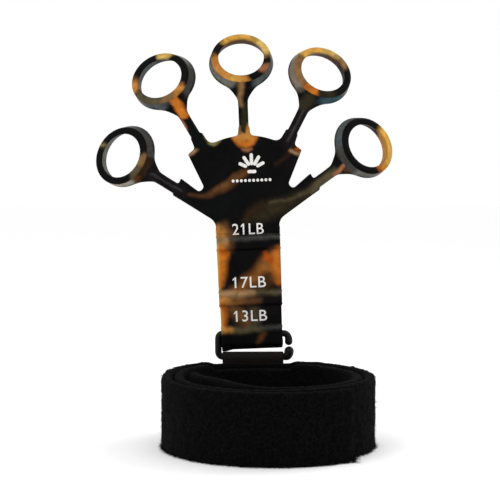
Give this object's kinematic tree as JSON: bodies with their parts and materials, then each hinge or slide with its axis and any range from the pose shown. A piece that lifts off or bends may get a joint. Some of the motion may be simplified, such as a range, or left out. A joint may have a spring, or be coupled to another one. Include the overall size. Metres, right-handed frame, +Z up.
{
  "type": "finger exerciser",
  "caption": "Silicone hand-shaped finger exerciser: finger rings on stretchy arms, a stretch band with bar tunnels, an open hook buckle and a wound wrist strap.",
  "frame": {"origin": "under the middle of the whole object, on the surface that the wrist strap stands on", "axes": "+Z up along the hand, +X across the hand to the viewer's right, -Y towards the side that carries the printed resistance marks"},
  "size_m": [0.1502, 0.1156, 0.2002],
  "materials": {
    "silicone": "smooth semi-gloss marbled silicone, mostly black with orange, brown and tan streaks",
    "silicone_orange": "smooth semi-gloss marbled silicone, orange and gold over black",
    "loop_fabric": "brushed loop pile of a hook-and-loop strap",
    "hook_tape": "moulded hook tape",
    "webbing": "flat woven webbing",
    "thread": "sewing thread, satin",
    "buckle_plastic": "moulded black plastic, soft gloss",
    "print_ink": "pale screen print"
  },
  "bodies": {
    "wrist_strap": {"strap_coil": "loop_fabric", "webbing_tab": "webbing", "lower_bartack": "thread", "upper_bartack": "thread"},
    "strap_flap": {"strap_free_end": "loop_fabric", "hook_patch": "hook_tape"},
    "buckle": {"hook_buckle": "buckle_plastic"},
    "band_end": {"band_13lb": "silicone"},
    "band_middle": {"band_17lb": "silicone"},
    "palm": {"band_21lb": "silicone", "palm_pad": "silicone"},
    "outer_left_arm": {"outer_left_arm": "silicone"},
    "outer_left_ring": {"outer_left_ring": "silicone_orange"},
    "inner_left_arm": {"inner_left_arm": "silicone"},
    "inner_left_ring": {"inner_left_ring": "silicone_orange"},
    "middle_arm": {"middle_arm": "silicone"},
    "middle_ring": {"middle_ring": "silicone_orange"},
    "inner_right_arm": {"inner_right_arm": "silicone"},
    "inner_right_ring": {"inner_right_ring": "silicone_orange"},
    "outer_right_arm": {"outer_right_arm": "silicone"},
    "outer_right_ring": {"outer_right_ring": "silicone_orange"}
  },
  "joints": [
    {"name": "strap_flap_peel", "type": "hinge", "parent": "wrist_strap", "child": "strap_flap", "pos_m": [0.02611, -0.05413, 0.017], "axis": [0, 0, -1], "range_deg": [0, 90]},
    {"name": "buckle_swing", "type": "hinge", "parent": "wrist_strap", "child": "buckle", "pos_m": [0.0034, 0.03916, 0.03705], "axis": [-1, 0, 0], "range_deg": [-65, 90]},
    {"name": "band_turn_on_bar", "type": "hinge", "parent": "buckle", "child": "band_end", "pos_m": [0.0034, 0.03916, 0.04895], "axis": [1, 0, 0], "range_deg": [-60, 60]},
    {"name": "lower_band_stretch", "type": "slide", "parent": "band_end", "child": "band_middle", "axis": [-0.0384, 0, 0.9993], "range_m": [0, 0.012], "stiffness_N_per_m": 4800},
    {"name": "upper_band_stretch", "type": "slide", "parent": "band_middle", "child": "palm", "axis": [-0.0384, 0, 0.9993], "range_m": [0, 0.012], "stiffness_N_per_m": 4800},
    {"name": "outer_left_arm_flex", "type": "hinge", "parent": "palm", "child": "outer_left_arm", "pos_m": [-0.03518, 0.03916, 0.12251], "axis": [0.527, 0, 0.8499], "range_deg": [-30, 45], "stiffness_Nm_per_rad": 0.012},
    {"name": "outer_left_arm_stretch", "type": "slide", "parent": "outer_left_arm", "child": "outer_left_ring", "axis": [-0.8499, 0, 0.527], "range_m": [0, 0.02], "stiffness_N_per_m": 600},
    {"name": "inner_left_arm_flex", "type": "hinge", "parent": "palm", "child": "inner_left_arm", "pos_m": [-0.02325, 0.03916, 0.14645], "axis": [0.8554, 0, 0.518], "range_deg": [-30, 45], "stiffness_Nm_per_rad": 0.012},
    {"name": "inner_left_arm_stretch", "type": "slide", "parent": "inner_left_arm", "child": "inner_left_ring", "axis": [-0.518, 0, 0.8554], "range_m": [0, 0.02], "stiffness_N_per_m": 600},
    {"name": "middle_arm_flex", "type": "hinge", "parent": "palm", "child": "middle_arm", "pos_m": [-0.00049, 0.03916, 0.15018], "axis": [0.9993, 0, 0.0384], "range_deg": [-30, 45], "stiffness_Nm_per_rad": 0.012},
    {"name": "middle_arm_stretch", "type": "slide", "parent": "middle_arm", "child": "middle_ring", "axis": [-0.0384, 0, 0.9993], "range_m": [0, 0.02], "stiffness_N_per_m": 600},
    {"name": "inner_right_arm_flex", "type": "hinge", "parent": "palm", "child": "inner_right_arm", "pos_m": [0.02249, 0.03916, 0.14821], "axis": [0.8926, 0, -0.4509], "range_deg": [-30, 45], "stiffness_Nm_per_rad": 0.012},
    {"name": "inner_right_arm_stretch", "type": "slide", "parent": "inner_right_arm", "child": "inner_right_ring", "axis": [0.4509, 0, 0.8926], "range_m": [0, 0.02], "stiffness_N_per_m": 600},
    {"name": "outer_right_arm_flex", "type": "hinge", "parent": "palm", "child": "outer_right_arm", "pos_m": [0.03623, 0.03916, 0.12526], "axis": [0.5906, 0, -0.807], "range_deg": [-30, 45], "stiffness_Nm_per_rad": 0.012},
    {"name": "outer_right_arm_stretch", "type": "slide", "parent": "outer_right_arm", "child": "outer_right_ring", "axis": [0.807, 0, 0.5906], "range_m": [0, 0.02], "stiffness_N_per_m": 600}
  ],
  "couplings": [
    {"joint": "lower_band_stretch", "follows": "upper_band_stretch", "ratio": 1}
  ]
}
